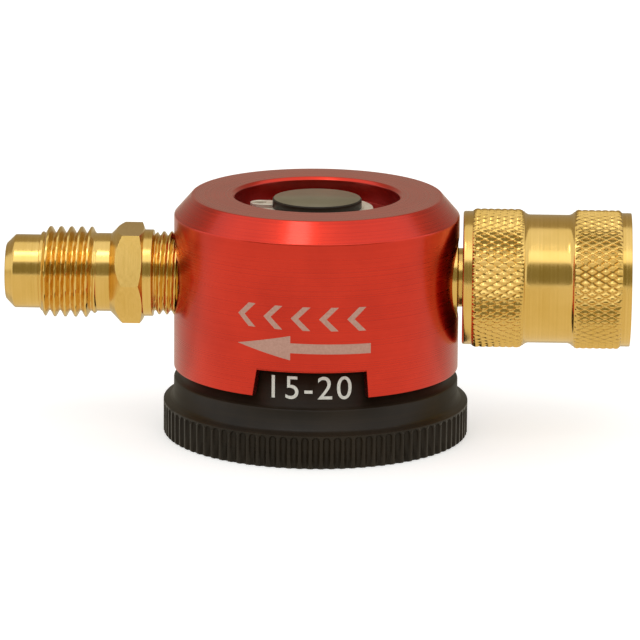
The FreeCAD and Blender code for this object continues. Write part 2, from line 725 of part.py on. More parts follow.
def seat_gasket():
    """The thin conical seal on the stem's seat."""
    rise = GASKET_THICKNESS * math.sqrt(2)
    inner_r = PASSAGE_R + EDGE_BREAK
    outer_r = STEM_SEAT_R - EDGE_BREAK
    inner_x = STEM_END - (STEM_SEAT_R - inner_r)
    outer_x = STEM_END - (STEM_SEAT_R - outer_r)
    return turned_on_port([
        (inner_x, inner_r),
        (inner_x + rise, inner_r),
        (outer_x + rise, outer_r),
        (outer_x, outer_r),
    ])


def fillet_to_waist(waist_x, away):
    """The arc between a knurl's end and the nut's waist, as (distance, radius) points.
    The waist's end comes first, and away is -1 or 1, the way the knurl lies."""
    fall = NUT_KNURL_R - NUT_WAIST_R
    turn = math.acos(1 - fall / NUT_WAIST_FILLET)
    return [
        (waist_x + away * NUT_WAIST_FILLET * math.sin(part * turn),
         NUT_WAIST_R + NUT_WAIST_FILLET * (1 - math.cos(part * turn)))
        for part in (0, 0.5, 1)]


def swivel_nut():
    """The nut, plain at its knurl's crests, with its swivel bore and its thread bore."""
    first_land = NUT_START + NUT_LAND
    last_land = NUT_END - NUT_LAND
    fall = NUT_KNURL_R - NUT_WAIST_R
    run = math.sqrt(NUT_WAIST_FILLET ** 2 - (NUT_WAIST_FILLET - fall) ** 2)
    waist_start = first_land + NUT_FIRST_KNURL + run
    waist_end = waist_start + NUT_WAIST
    into_waist = fillet_to_waist(waist_start, -1)
    out_of_waist = fillet_to_waist(waist_end, 1)
    round_middle = NUT_MOUTH_ROUNDING * (1 - math.sqrt(0.5))
    nut = turned_on_port([
        (NUT_START, 0),
        (NUT_START, NUT_LAND_R - EDGE_BREAK),
        (NUT_START + EDGE_BREAK, NUT_LAND_R),
        (first_land, NUT_LAND_R),
        (first_land + EDGE_BREAK, NUT_KNURL_R),
        into_waist[2],
        (into_waist[1], into_waist[0]),
        out_of_waist[0],
        (out_of_waist[1], out_of_waist[2]),
        (last_land - EDGE_BREAK, NUT_KNURL_R),
        (last_land, NUT_LAND_R),
        (NUT_END - NUT_MOUTH_ROUNDING, NUT_LAND_R),
        ((NUT_END - round_middle, NUT_LAND_R - round_middle),
         (NUT_END, NUT_LAND_R - NUT_MOUTH_ROUNDING)),
        (NUT_END, 0),
    ])
    mouth = Part.makeCone(
        NUT_THREAD_MINOR_R, NUT_THREAD_MINOR_R + NUT_MOUTH_CHAMFER, NUT_MOUTH_CHAMFER,
        V(NUT_END - NUT_MOUTH_CHAMFER, 0, PORT_Z), V(1, 0, 0))
    return nut.cut([
        cylinder_x(NUT_BORE_R, NUT_START - CUTTER_SPARE, NUT_END - NUT_THREAD),
        cylinder_x(NUT_THREAD_MINOR_R, NUT_END - NUT_THREAD, NUT_END + CUTTER_SPARE),
        cylinder_x(
            NUT_THREAD_MINOR_R + NUT_UNDERCUT_DEPTH, NUT_END - NUT_THREAD - NUT_UNDERCUT,
            NUT_END - NUT_THREAD),
        port_ring(SWIVEL_RING_WIRE_R + THREAD_GAP, SWIVEL_RING_X, NUT_BORE_R),
        mouth,
    ])


def swivel_ring():
    """The wire ring that holds the nut on the stem."""
    return port_ring(SWIVEL_RING_WIRE_R, SWIVEL_RING_X, NUT_BORE_R)


def detent_ball():
    """The steel ball in its pocket in the boss."""
    x, y = on_circle(DETENT_CIRCLE_R, DETENT_ANGLE)
    return Part.makeSphere(BALL_R, V(x, y, BALL_CENTRE))


def detent_spring():
    """The spring above the ball."""
    x, y = on_circle(DETENT_CIRCLE_R, DETENT_ANGLE)
    length = DETENT_SPRING_LENGTH - RUNNING_GAP + seat_on_ball()
    spring = coil(DETENT_SPRING_R, DETENT_SPRING_WIRE, length, DETENT_SPRING_TURNS)
    spring.translate(V(x, y, BALL_CENTRE + BALL_R - seat_on_ball() + RUNNING_GAP))
    return spring


def seat_on_ball():
    """How far below the ball's top the detent spring's lowest turn may sit."""
    return BALL_R - math.sqrt(BALL_R ** 2 - (DETENT_SPRING_R - DETENT_SPRING_WIRE) ** 2)


def stop_pin():
    """The pin in the boss that runs in the dial's slot."""
    x, y = on_circle(DETENT_CIRCLE_R, STOP_ANGLE)
    low = BOSS_BOTTOM - STOP_PIN_REACH
    return cylinder_z(STOP_PIN_R, low, low + STOP_PIN_LENGTH, x, y)


def pieces():
    """Every sub-part by name."""
    made = {
        "body": body(),
        "selector_dial": selector_dial(),
        "selector_spool": selector_spool(),
        "dial_screws": dial_screws(),
        "circlip": circlip(),
        "thrust_washer": thrust_washer(),
        "detent_ball": detent_ball(),
        "detent_spring": detent_spring(),
        "stop_pin": stop_pin(),
        "flare_fitting": flare_fitting(),
        "inlet_stem": inlet_stem(),
        "inlet_filter": inlet_filter(),
        "seat_gasket": seat_gasket(),
        "swivel_nut": swivel_nut(),
        "swivel_ring": swivel_ring(),
        "inlet_seat": seat(),
        "inlet_seat_o_ring": seat_o_ring(),
        "inlet_seat_spring": seat_spring(),
        "outlet_seat": mirrored(seat()),
        "outlet_seat_o_ring": mirrored(seat_o_ring()),
        "outlet_seat_spring": mirrored(seat_spring()),
    }
    for name, middle in SPOOL_RINGS.items():
        made[name] = spool_o_ring(middle)
    for name, (angle, bore_r) in JETS.items():
        made[name] = jet(angle, bore_r)
    return made


os.makedirs("parts", exist_ok=True)
for name, shape in pieces().items():
    shape.exportStep(os.path.join("parts", name + ".step"))
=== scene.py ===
"""Looks of the rotary nitrogen flow regulator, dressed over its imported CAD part.

The frame is the CAD's: the origin is the centre of the dial's bottom face, +Z is up
along the spool, +X points to the inlet nut and -Y is the front, with the window.
Sizes are written in millimetres and become metres when a mesh is made."""

import math

import bmesh
import bpy
import numpy as np
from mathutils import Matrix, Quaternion, Vector


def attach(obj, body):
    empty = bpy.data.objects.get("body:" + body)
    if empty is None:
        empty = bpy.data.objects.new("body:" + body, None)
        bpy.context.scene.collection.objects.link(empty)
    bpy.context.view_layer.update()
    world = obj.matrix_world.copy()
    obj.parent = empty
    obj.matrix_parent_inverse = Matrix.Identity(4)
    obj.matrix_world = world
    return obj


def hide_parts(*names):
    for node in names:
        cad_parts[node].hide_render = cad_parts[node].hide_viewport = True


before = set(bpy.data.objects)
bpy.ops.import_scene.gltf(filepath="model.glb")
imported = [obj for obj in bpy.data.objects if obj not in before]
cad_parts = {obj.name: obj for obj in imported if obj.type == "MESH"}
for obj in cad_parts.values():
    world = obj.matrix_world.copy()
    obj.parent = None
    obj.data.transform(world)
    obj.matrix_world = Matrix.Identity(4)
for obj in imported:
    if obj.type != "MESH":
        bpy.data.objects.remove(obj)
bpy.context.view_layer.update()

# A millimetre in metres, and the height of the port axis
MM = 0.001
PORT_Z = 19.60

# Meshes: how near points merge, and how sharp an edge stays sharp. An edge's rounding
# takes up to ARC_SHARE of a side, and the flat point past it lies FLAT_REACH times as
# far out, up to FLAT_SHARE. FLAT_STEP is the same where a shape has no such edge
MERGE_DISTANCE = 0.0005
SMOOTH_ANGLE = math.radians(30)
EDGE_ROUNDING = 0.12
ARC_SHARE = 0.45
FLAT_REACH = 1.5
FLAT_SHARE = 0.48
FLAT_STEP = 0.15
ROUND_COLUMNS = 96

# Camera
CAMERA_AZIMUTH = 1.75
CAMERA_ELEVATION = 13.66
CAMERA_ROLL = 0.47
CAMERA_DISTANCE = 600.0
CAMERA_NEAR = 10.0
CAMERA_LENS = 274.4
CAMERA_SENSOR = 36.0
CAMERA_AIM = (0.47, 13.94)

# Studio floor and room. The lift is the light that turns the floor white for the
# background's rays
ROOM_COLOUR = "#F2F2F0"
FLOOR_COLOUR = "#E2E2E0"
FLOOR_LIFT = 0.44
FLOOR_HALF = 1500.0
FLOOR_Z = -0.02

# Cards: a name, a colour, and the (y, z) of the two long edges
CARD_HALF_WIDTH = 1800.0
CARDS = (
    ("front_card", "#8C876C", (-1000.0, 55.0), (-1000.0, 874.0)),
    ("back_card", "#A89F8C", (800.0, 0.0), (800.0, 1700.0)),
    ("front_paper", "#ECE4D1", (-990.0, -0.01), (12.0, -0.01)),
    ("back_paper", "#CBC6B4", (12.0, -0.01), (790.0, -0.01)),
)

# Lamps: a name, azimuth and elevation in degrees, width and height in metres, and watts
LAMP_DISTANCE = 1200.0
LAMP_AIM_Z = 15.0
SOFTBOXES = (
    ("front_softbox", 0.0, 53.0, 1.4, 0.46, 1.2),
    ("top_lamp", -26.0, 68.0, 0.25, 0.25, 0.65),
)

# Tool lines and grain in the finishes. The clouds are about 6 mm wide, and the lines
# add LINE_TINT of themselves to them. A span is the part of a noise's range that a
# finish spreads over, and a depth is how far its pattern stands out
CLOUDS_PER_MM = 0.16
LINE_TINT = 0.6
TONE_SPAN = (0.55, 1.0)
LINE_SPAN = (0.25, 0.75)
LINE_DEPTH = 0.01
GRAIN_SPAN = (0.3, 0.7)
GRAIN_DEPTH = 0.02

# Body
BODY_R = 17.47
BODY_LOW = 8.32
BODY_TOP = 29.76
CHAMFER_LOW = 27.28
TOP_RIM_R = 15.31
RECESS_R = 10.08
RECESS_FLOOR = 27.10
RECESS_CHAMFER = 0.35
JOURNAL_BORE_R = 5.51
SPOOL_BORE_R = 6.55
SPOOL_BORE_TOP = 25.65
COUNTERBORE_R = 10.30
COUNTERBORE_TOP = 8.20
BOSS_R = 14.70
BOSS_LOW = 4.90
POCKET_R = 3.00
PORT_BORE_R = 5.15
PORT_BOTTOM = 11.47
SKIRT_INNER_R = 16.35
SKIRT_TOP = 12.20
WINDOW_TOP = 11.57
WINDOW_TOP_X = (-6.62, 6.62)
WINDOW_LOW_X = (-7.11, 6.86)

# The body's mesh: its columns, the gap in radians that they leave beside the window,
# the turn over which the window's slant fades, where the two profiles join, and how
# far their edges are rounded
BODY_COLUMNS = 288
COLUMN_GAP = 0.008
SLANT_FADE = math.radians(6)
OUTER_JOIN_Z = 14.00
INNER_JOIN_Z = WINDOW_TOP + 0.30
BODY_EDGE = 0.10
SKIRT_EDGE = 0.14

# How far the cutters of the ports reach past what they cut, and how far the recess's
# painted shade, its darker red, reaches past its wall and floor
POCKET_SPARE = 0.1
PORT_SPARE = 1.0
RECESS_SHADE_SPARE_R = 0.02
RECESS_SHADE_SPARE_Z = 0.05

# How steeply a face of the spool's end has to point up to be its flat, and how far the
# circlip's edges are rounded
SPOOL_END_SLOPE = 0.9
CIRCLIP_EDGE = 0.10

# Markings on the body: how far they stand out and reach in, and half the width of
# their points. Places along them are arc lengths to the right of the front
MARK_RISE = 0.012
MARK_SINK = 0.05
MARK_POINT = 0.01
ARROW_Z = 14.58
ARROW_TIP = -9.33
ARROW_HEAD_BACK = -2.55
ARROW_TAIL = 7.27
ARROW_HEAD = 3.00
ARROW_SHAFT = 1.22
ARROW_SLOPE = -0.0147
ARROW_HEAD_COLUMNS = 12
ARROW_SHAFT_COLUMNS = 16
CHEVRON_Z = 18.25
CHEVRON_HEIGHT = 2.90
CHEVRON_STROKE = 0.90
CHEVRON_DEPTH = 1.45
CHEVRON_START = -9.30
CHEVRON_PITCH = 3.40
CHEVRON_COUNT = 5

# Numbers on the dial. A station is its number and the degrees from the front to it. The
# extrusion only tells the letters' fronts from their backs
LABEL_R = 16.10
LABEL_Z = 9.42
LABEL_HEIGHT = 2.85
LABEL_WIDTH = 10.40
LABEL_SPACING = 1.15
NUMBER_RISE = 0.04
NUMBER_EXTRUSION = 0.02
STATIONS = (("5-10", 60.0), ("15-20", 0.0), ("25-30", -60.0))

# Threads: rows for each turn, and the slope and root of the wave that shapes them
THREAD_ROWS = 14
THREAD_SLOPE = 1.45
THREAD_ROOT = 0.18

# Flare fitting, with distances out along -X. Each fade is how far a thread takes to
# reach its full depth at its two ends, and the shift turns it as the photograph has it
FLARE_COLUMNS = 120
FLARE_BACK = 14.0
FLARE_PIPE_R = 5.12
FLARE_PIPE_ROOT_R = 4.62
FLARE_PIPE_PITCH = 0.94
FLARE_PIPE_FADE = (0.4, 0.5)
FLARE_PIPE_END = 20.00
FLARE_SHOULDER_R = 5.32
FLARE_HEX = (21.10, 23.65)
FLARE_HEX_CHAMFER = 0.45
FLARE_HEX_TURN = 3.0
FLARE_FLAT = 5.555
FLARE_CONE_END = 25.20
FLARE_RELIEF_R = 4.80
FLARE_RELIEF_END = 26.65
FLARE_THREAD = (26.85, 33.80)
FLARE_THREAD_R = 5.556
FLARE_ROOT_R = 4.78
FLARE_PITCH = 1.27
FLARE_THREAD_FADE = (0.7, 0.6)
FLARE_THREAD_SHIFT = 0.28
FLARE_NOSE_R = 4.51
FLARE_NOSE_START = 33.90
FLARE_NOSE_END = 36.99
FLARE_FACE_R = 3.40
FLARE_END = 38.10
FLARE_BORE_R = 2.40

# Swivel nut, along +X. NUT_KNURL_ROUND and NUT_KNURL_AXIAL are the pyramids round the
# nut and their pitch along it, each NUT_KNURL_STEPS points wide and long
NUT_START = 17.92
NUT_END = 38.47
NUT_LAND_R = 8.18
NUT_LAND_GAP = 0.05
NUT_BACK_ROUNDING = 0.30
NUT_KNURL_R = 8.50
NUT_KNURL_DEPTH = 0.27
NUT_KNURL_ROUND = 56
NUT_KNURL_AXIAL = 1.64
NUT_KNURL_STEPS = 8
NUT_KNURL_FADE = 0.25
NUT_KNURLS = ((19.12, 25.27), (31.57, 37.27))
NUT_WAIST_R = 7.86
NUT_WAIST_GAP = 0.10
NUT_WAIST_FILLET = 0.95
NUT_FILLET_ROWS = 6
NUT_MOUTH_ROUNDING = 0.70
NUT_MOUTH_STEP = 0.05
NUT_BACK_BORE_R = 4.82
NUT_UNDERCUT = (27.24, 28.44)
NUT_UNDERCUT_R = 5.65
NUT_THREAD_R = 4.95
NUT_THREAD_CHAMFER = 0.60

# Inlet stem, along +X
STEM_BACK = 11.77
STEM_TAIL_R = 5.12
STEM_SHOULDER = 17.35
STEM_NECK_R = 3.60
STEM_BARREL = 19.00
STEM_BARREL_R = 4.75
STEM_END = 27.00
STEM_SEAT_R = 4.20
STEM_SEAT_START = 25.20
STEM_BORE_R = 2.40
RING_X = 22.50
RING_GROOVE_R = 0.55
RING_GROOVE_TURN = 1.4
RING_GROOVE_ROWS = 9


def linear(hex_colour):
    """An sRGB hex colour as the linear colour that a shader takes."""
    srgb = np.array([int(hex_colour[i:i + 2], 16) for i in (1, 3, 5)]) / 255
    value = np.where(srgb <= 0.04045, srgb / 12.92, ((srgb + 0.055) / 1.055) ** 2.4)
    return (*value.tolist(), 1.0)


def add(tree, kind, settings=None, links=None):
    """Adds a node, sets its properties and sockets by name, and links its sockets."""
    node = tree.nodes.new(kind)
    for name, value in (settings or {}).items():
        if isinstance(name, int) or name in node.inputs:
            node.inputs[name].default_value = value
        else:
            setattr(node, name, value)
    for name, source in (links or {}).items():
        tree.links.new(source, node.inputs[name])
    return node


def material(name):
    """A material with an empty node tree and its output."""
    made = bpy.data.materials.new(name)
    made.use_nodes = True
    made.node_tree.nodes.clear()
    output = add(made.node_tree, "ShaderNodeOutputMaterial")
    return made, made.node_tree, output


def surfaced(tree, output, shader, tone, tone_span, colours, pattern, span, roughness, bump, depth):
    """Ends a material. Over its span the tone runs from the first colour to the second,
    and the pattern from the first roughness to the second. The pattern also stands out
    of the surface by depth in millimetres, by the strength bump."""
    colour = add(tree, "ShaderNodeValToRGB", None, {"Fac": tone})
    for element, position, hex_colour in zip(colour.color_ramp.elements, tone_span, colours):
        element.position = position
        element.color = linear(hex_colour)
    gloss = add(
        tree, "ShaderNodeMapRange",
        {"From Min": span[0], "From Max": span[1], "To Min": roughness[0], "To Max": roughness[1]},
        {"Value": pattern},
    )
    relief = add(
        tree, "ShaderNodeBump",
        {"Strength": bump, "Distance": depth * MM},
        {"Height": pattern},
    )
    surface = add(
        tree, "ShaderNodeBsdfPrincipled", shader,
        {
            "Base Color": colour.outputs["Color"],
            "Roughness": gloss.outputs["Result"],
            "Normal": relief.outputs["Normal"],
        },
    )
    tree.links.new(surface.outputs["BSDF"], output.inputs["Surface"])


def turned_finish(name, colours, shader, axis, lines, roughness, bump):
    """Metal cut on a lathe: its tool lines run round the axis, so the pattern is a
    noise over the distance from the axis and along it, with lines per millimetre. Soft
    clouds a few millimetres wide shade it. colours are the hex values of its darker and
    lighter places."""
    made, tree, output = material(name)
    move = (0, 0, 0) if axis == "Z" else (0, 0, -PORT_Z * MM)
    turn = (0, 0, 0) if axis == "Z" else (0, math.pi / 2, 0)
    place = add(tree, "ShaderNodeTexCoord").outputs["Object"]
    centred = add(tree, "ShaderNodeMapping", {"Location": move}, {"Vector": place})
    aligned = add(
        tree, "ShaderNodeMapping",
        {"Rotation": turn},
        {"Vector": centred.outputs["Vector"]},
    )
    across = add(
        tree, "ShaderNodeVectorMath",
        {"operation": "MULTIPLY", 1: (1, 1, 0)},
        {0: aligned.outputs["Vector"]},
    )
    radius = add(
        tree, "ShaderNodeVectorMath",
        {"operation": "LENGTH"},
        {"Vector": across.outputs["Vector"]},
    )
    parts = add(tree, "ShaderNodeSeparateXYZ", None, {"Vector": aligned.outputs["Vector"]})
    line_place = add(
        tree, "ShaderNodeCombineXYZ", None,
        {"X": radius.outputs["Value"], "Y": parts.outputs["Z"]},
    )
    tool_lines = add(
        tree, "ShaderNodeTexNoise",
        {"noise_dimensions": "2D", "Scale": lines / MM, "Detail": 3.0, "Roughness": 0.65},
        {"Vector": line_place.outputs["Vector"]},
    ).outputs["Fac"]
    clouds = add(
        tree, "ShaderNodeTexNoise",
        {"Scale": CLOUDS_PER_MM / MM, "Detail": 3.0, "Roughness": 0.55},
        {"Vector": place},
    )
    tone = add(
        tree, "ShaderNodeMath",
        {"operation": "MULTIPLY_ADD", 1: LINE_TINT},
        {0: tool_lines, 2: clouds.outputs["Fac"]},
    )
    surfaced(
        tree, output, shader, tone.outputs["Value"], TONE_SPAN, colours,
        tool_lines, LINE_SPAN, roughness, bump, LINE_DEPTH,
    )
    return made


def grained_finish(name, colours, shader, grain, roughness, bump):
    """A material with an even grain of a size in millimetres: a noise over its place
    tints, dulls and raises it. Moulded rubber, cut PTFE, sintered beads and print."""
    made, tree, output = material(name)
    place = add(tree, "ShaderNodeTexCoord").outputs["Object"]
    grains = add(
        tree, "ShaderNodeTexNoise",
        {"Scale": 1 / (grain * MM), "Detail": 4.0, "Roughness": 0.6},
        {"Vector": place},
    ).outputs["Fac"]
    surfaced(
        tree, output, shader, grains, GRAIN_SPAN, colours,
        grains, GRAIN_SPAN, roughness, bump, GRAIN_DEPTH,
    )
    return made


# Turned aluminium, dyed red: the dye tints the metal under a clear oxide, which adds
# a pale gloss at grazing angles
red_anodised = turned_finish(
    "red_anodised_aluminium", ("#CC280F", "#DB3118"),
    {"Metallic": 1.0, "Coat Weight": 0.45, "Coat Roughness": 0.16, "Coat IOR": 1.6},
    axis="Z", lines=3.0, roughness=(0.24, 0.34), bump=0.09,
)

# The same dye in the top recess, turned but not polished, with its red darkened as
# painted shade for the shade that falls in the recess
recess_painted_shade_red = turned_finish(
    "red_anodised_painted_recess_shade", ("#9E1D0C", "#AA2412"),
    {"Metallic": 1.0, "Coat Weight": 0.45, "Coat Roughness": 0.2, "Coat IOR": 1.6},
    axis="Z", lines=3.0, roughness=(0.28, 0.38), bump=0.13,
)

# Turned aluminium, dyed black: dark and slightly warm, satin
black_anodised = turned_finish(
    "black_anodised_aluminium", ("#1A140C", "#281F14"),
    {"Specular IOR Level": 0.22},
    axis="Z", lines=3.0, roughness=(0.36, 0.46), bump=0.2,
)

# The spool's flat end: the same dye, worn and polished, so it mirrors more of the room
polished_black = turned_finish(
    "polished_black_anodising", ("#948E7C", "#AAA490"),
    {"Metallic": 1.0},
    axis="Z", lines=3.0, roughness=(0.30, 0.40), bump=0.2,
)

# Bright turned brass of the two fittings, whose lines run round the port axis
brass = turned_finish(
    "turned_brass", ("#DEB660", "#EAC474"),
    {"Metallic": 1.0},
    axis="X", lines=3.5, roughness=(0.14, 0.24), bump=0.2,
)

# Brass of the jets in the spool: the same metal, a little redder and duller
jet_brass = turned_finish(
    "jet_brass", ("#D9A850", "#F0C878"),
    {"Metallic": 1.0},
    axis="Z", lines=3.5, roughness=(0.18, 0.28), bump=0.2,
)

# Spring steel, stamped, tumbled and zinc plated: pale and satin
spring_steel = grained_finish(
    "plated_spring_steel", ("#E0DAC8", "#F2ECDA"),
    {"Metallic": 0.5},
    grain=0.8, roughness=(0.30, 0.42), bump=0.15,
)

# Machine steel of screws, pin and ball: bare, grey and smooth
steel = grained_finish(
    "machine_steel", ("#A6A6A4", "#CFCFCC"),
    {"Metallic": 1.0},
    grain=0.6, roughness=(0.22, 0.34), bump=0.15,
)

# Cut PTFE: white, waxy, slightly translucent to the eye
ptfe = grained_finish(
    "cut_ptfe", ("#E4E4DE", "#F4F4F0"),
    {"IOR": 1.35, "Subsurface Weight": 0.1, "Subsurface Scale": 0.001},
    grain=1.2, roughness=(0.42, 0.52), bump=0.1,
)

# Nitrile rubber: black, dull
rubber = grained_finish(
    "nitrile_rubber", ("#161616", "#242424"),
    {"IOR": 1.5},
    grain=0.4, roughness=(0.55, 0.70), bump=0.3,
)

# Sintered bronze: beads fused together, brown gold and rough
bronze = grained_finish(
    "sintered_bronze", ("#6E4A24", "#C08A4E"),
    {"Metallic": 0.9},
    grain=0.25, roughness=(0.45, 0.60), bump=1.0,
)

# Etched marking: the dye is gone and the bare aluminium is matt, greyed pink
etched = grained_finish(
    "etched_aluminium", ("#B58878", "#C79C8C"),
    {"Metallic": 0.2},
    grain=0.25, roughness=(0.55, 0.70), bump=0.4,
)

# White filling print of the dial's numbers: opaque, soft and a little uneven
white_print = grained_finish(
    "white_print", ("#D2CFC4", "#E6E4DA"),
    {},
    grain=0.3, roughness=(0.45, 0.60), bump=0.3,
)


def linked(name, data):
    """A new object of the scene, with its data."""
    made = bpy.data.objects.new(name, data)
    bpy.context.scene.collection.objects.link(made)
    return made


def evaluated_mesh(made):
    """A new mesh of an object as it shows, with its modifiers or its letters worked out."""
    graph = bpy.context.evaluated_depsgraph_get()
    return bpy.data.meshes.new_from_object(made.evaluated_get(graph))


def merge_doubles(mesh):
    """Merges the points of a mesh that coincide, and drops its faces of no area."""
    tidy = bmesh.new()
    tidy.from_mesh(mesh)
    bmesh.ops.remove_doubles(tidy, verts=tidy.verts, dist=MERGE_DISTANCE * MM)
    tidy.to_mesh(mesh)
    tidy.free()


def meshed(name, points, faces):
    """A mesh object from points in millimetres, merged where they coincide."""
    corners = np.reshape(points, (-1, 3)) * MM
    mesh = bpy.data.meshes.new(name)
    mesh.from_pydata(corners.tolist(), [], [list(face) for face in faces])
    merge_doubles(mesh)
    return linked(name, mesh)


def dressed(made, finish, body, replaced=()):
    """Shades a mesh smooth up to SMOOTH_ANGLE, gives it its finish and ties it to the
    frame, so that it rides on a body and stands for the CAD nodes it replaces."""
    merge_doubles(made.data)
    made.data.shade_smooth()
    made.data.set_sharp_from_angle(angle=SMOOTH_ANGLE)
    made.data.materials.clear()
    made.data.materials.append(finish)
    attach(made, body)
    if replaced:
        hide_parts(*replaced)
    return made


def refinish(made, finish, low, radius, slope=-1.0):
    """Gives a second finish to the faces above a height, within a radius of the spool's
    axis, whose normals point up by more than a slope."""
    made.data.materials.append(finish)
    for face in made.data.polygons:
        within = math.hypot(face.center.x, face.center.y) < radius * MM
        if within and face.center.z > low * MM and face.normal.z > slope:
            face.material_index = 1


def grid_faces(rows, columns, wrap_rows=False, wrap_columns=True):
    """The quads between neighbouring points of a rows by columns grid."""
    index = np.arange(rows * columns).reshape(rows, columns)
    if wrap_rows:
        index = np.vstack([index, index[:1]])
    if wrap_columns:
        index = np.hstack([index, index[:, :1]])
    corners = (index[:-1, :-1], index[1:, :-1], index[1:, 1:], index[:-1, 1:])
    return np.stack(corners, axis=-1).reshape(-1, 4)


def rounded(corners, size=EDGE_ROUNDING, steps=3):
    """A profile of (radius, distance) corners, with all but its two ends cut back and
    rounded by a quadratic arc: p = (1-t)^2 a + 2 t (1-t) corner + t^2 b. A point a
    little before and one after each arc keep the long faces flat to the eye."""
    corners = np.asarray(corners, float)
    t = np.linspace(0, 1, steps + 1)[:, None]
    made = [corners[:1]]
    for before, corner, after in zip(corners, corners[1:], corners[2:]):
        ends = []
        flats = []
        for neighbour in (before, after):
            side = neighbour - corner
            length = np.linalg.norm(side)
            ends.append(corner + side / length * min(size, length * ARC_SHARE))
            flats.append(corner + side / length * min(size * FLAT_REACH, length * FLAT_SHARE))
        arc = (1 - t) ** 2 * ends[0] + 2 * t * (1 - t) * corner + t ** 2 * ends[1]
        made += [flats[:1], arc, flats[1:]]
    made.append(corners[-1:])
    return np.vstack(made)


def round_z(radius, height, angle):
    """Points at an angle round the spool's axis, all arrays broadcast together."""
    radius, height, angle = np.broadcast_arrays(radius, height, angle)
    return np.stack([radius * np.cos(angle), radius * np.sin(angle), height], axis=-1)


def round_x(radius, along, angle):
    """Points at an angle round the port axis, from straight up towards -Y."""
    radius, along, angle = np.broadcast_arrays(radius, along, angle)
    return np.stack([along, -radius * np.sin(angle), PORT_Z + radius * np.cos(angle)], axis=-1)


def angles(columns):
    """Even angles round a full turn."""
    return np.arange(columns) * 2 * math.pi / columns


def window_columns():
    """The body's angles, with each side of the window twice among them. With them come
    which of them are inside the window, and how far the low rows of the skirt lean out
    at each: the sides slant, and the lean fades to nothing over SLANT_FADE."""
    top, low = [
        [math.atan2(-math.sqrt(BODY_R ** 2 - x * x), x) for x in sides]
        for sides in (WINDOW_TOP_X, WINDOW_LOW_X)
    ]
    regular = angles(BODY_COLUMNS) - math.pi
    beside = np.minimum(np.abs(regular - top[0]), np.abs(regular - top[1]))
    angle = np.sort(np.concatenate([regular[beside > COLUMN_GAP], top, top]))
    doubled = np.flatnonzero(np.isin(angle, top))
    inside = np.zeros(len(angle), bool)
    inside[doubled[0] + 1:doubled[-1]] = True
    left = np.clip(1 - (top[0] - angle) / SLANT_FADE, 0, 1) * (angle <= top[0]) * ~inside
    right = np.clip(1 - (angle - top[1]) / SLANT_FADE, 0, 1) * (angle >= top[1]) * ~inside
    lean = left * (low[0] - top[0]) + right * (low[1] - top[1])
    return angle, inside, lean


def make_body():
    """The red body: a closed profile turned about Z on a grid of angles. At the window's
    angles the skirt's low rows are lifted to the window's top, and the doubled columns
    at its sides make its two walls. Plain cylinders then cut the ports, and the recess
    gets a darker red of painted shade."""
    angle, inside, lean = window_columns()
    skirt = rounded([
        (SKIRT_INNER_R, WINDOW_TOP + SKIRT_EDGE), (SKIRT_INNER_R, BODY_LOW),
        (BODY_R, BODY_LOW), (BODY_R, WINDOW_TOP + SKIRT_EDGE),
    ], SKIRT_EDGE)
    upper = rounded([
        (BODY_R, OUTER_JOIN_Z), (BODY_R, CHAMFER_LOW), (TOP_RIM_R, BODY_TOP),
        (RECESS_R + RECESS_CHAMFER, BODY_TOP), (RECESS_R, BODY_TOP - RECESS_CHAMFER),
        (RECESS_R, RECESS_FLOOR), (JOURNAL_BORE_R, RECESS_FLOOR),
        (JOURNAL_BORE_R, SPOOL_BORE_TOP), (SPOOL_BORE_R, SPOOL_BORE_TOP),
        (SPOOL_BORE_R, COUNTERBORE_TOP), (COUNTERBORE_R, COUNTERBORE_TOP),
        (COUNTERBORE_R, BOSS_LOW), (BOSS_R, BOSS_LOW), (BOSS_R, SKIRT_TOP),
        (SKIRT_INNER_R, SKIRT_TOP), (SKIRT_INNER_R, INNER_JOIN_Z),
    ], BODY_EDGE)
    profile = np.vstack([skirt, upper])
    lifted = np.zeros(len(profile), bool)
    lifted[1:len(skirt) - 1] = True
    height = np.repeat(profile[:, 1:], len(angle), axis=1)
    height[np.ix_(lifted, inside)] += WINDOW_TOP - BODY_LOW
    points = round_z(profile[:, :1], height, angle[None] + lifted[:, None] * lean[None])
    faces = grid_faces(len(profile), len(angle), wrap_rows=True)[:, ::-1]
    block = bored(meshed("body_turned", points, faces), [
        (POCKET_R, -PORT_BOTTOM - POCKET_SPARE, PORT_BOTTOM + POCKET_SPARE),
        (PORT_BORE_R, PORT_BOTTOM, BODY_R + PORT_SPARE),
        (PORT_BORE_R, -BODY_R - PORT_SPARE, -PORT_BOTTOM),
    ])
    body = dressed(block, red_anodised, "housing", ["body"])
    # The recess's faces take the darker red: painted shade, where shade falls in the recess
    refinish(body, recess_painted_shade_red, RECESS_FLOOR - RECESS_SHADE_SPARE_Z, RECESS_R + RECESS_SHADE_SPARE_R)


def bored(block, bores):
    """The block less its port bores, each a (radius, start, end) cylinder along X."""
    angle = angles(ROUND_COLUMNS)
    ends = np.arange(2 * ROUND_COLUMNS).reshape(2, ROUND_COLUMNS)
    faces = [*grid_faces(2, ROUND_COLUMNS), ends[0, ::-1], ends[1]]
    cutters = []
    for number, (radius, start, end) in enumerate(bores):
        rings = np.stack([round_x(radius, start, angle), round_x(radius, end, angle)])
        cutter = meshed(f"port_cutter_{number}", rings, faces)
        cut = block.modifiers.new("port", "BOOLEAN")
        cut.operation = "DIFFERENCE"
        cut.solver = "EXACT"
        cut.object = cutter
        cutters.append(cutter)
    result = evaluated_mesh(block)
    block.modifiers.clear()
    block.data = result
    for cutter in cutters:
        bpy.data.objects.remove(cutter)
    return block


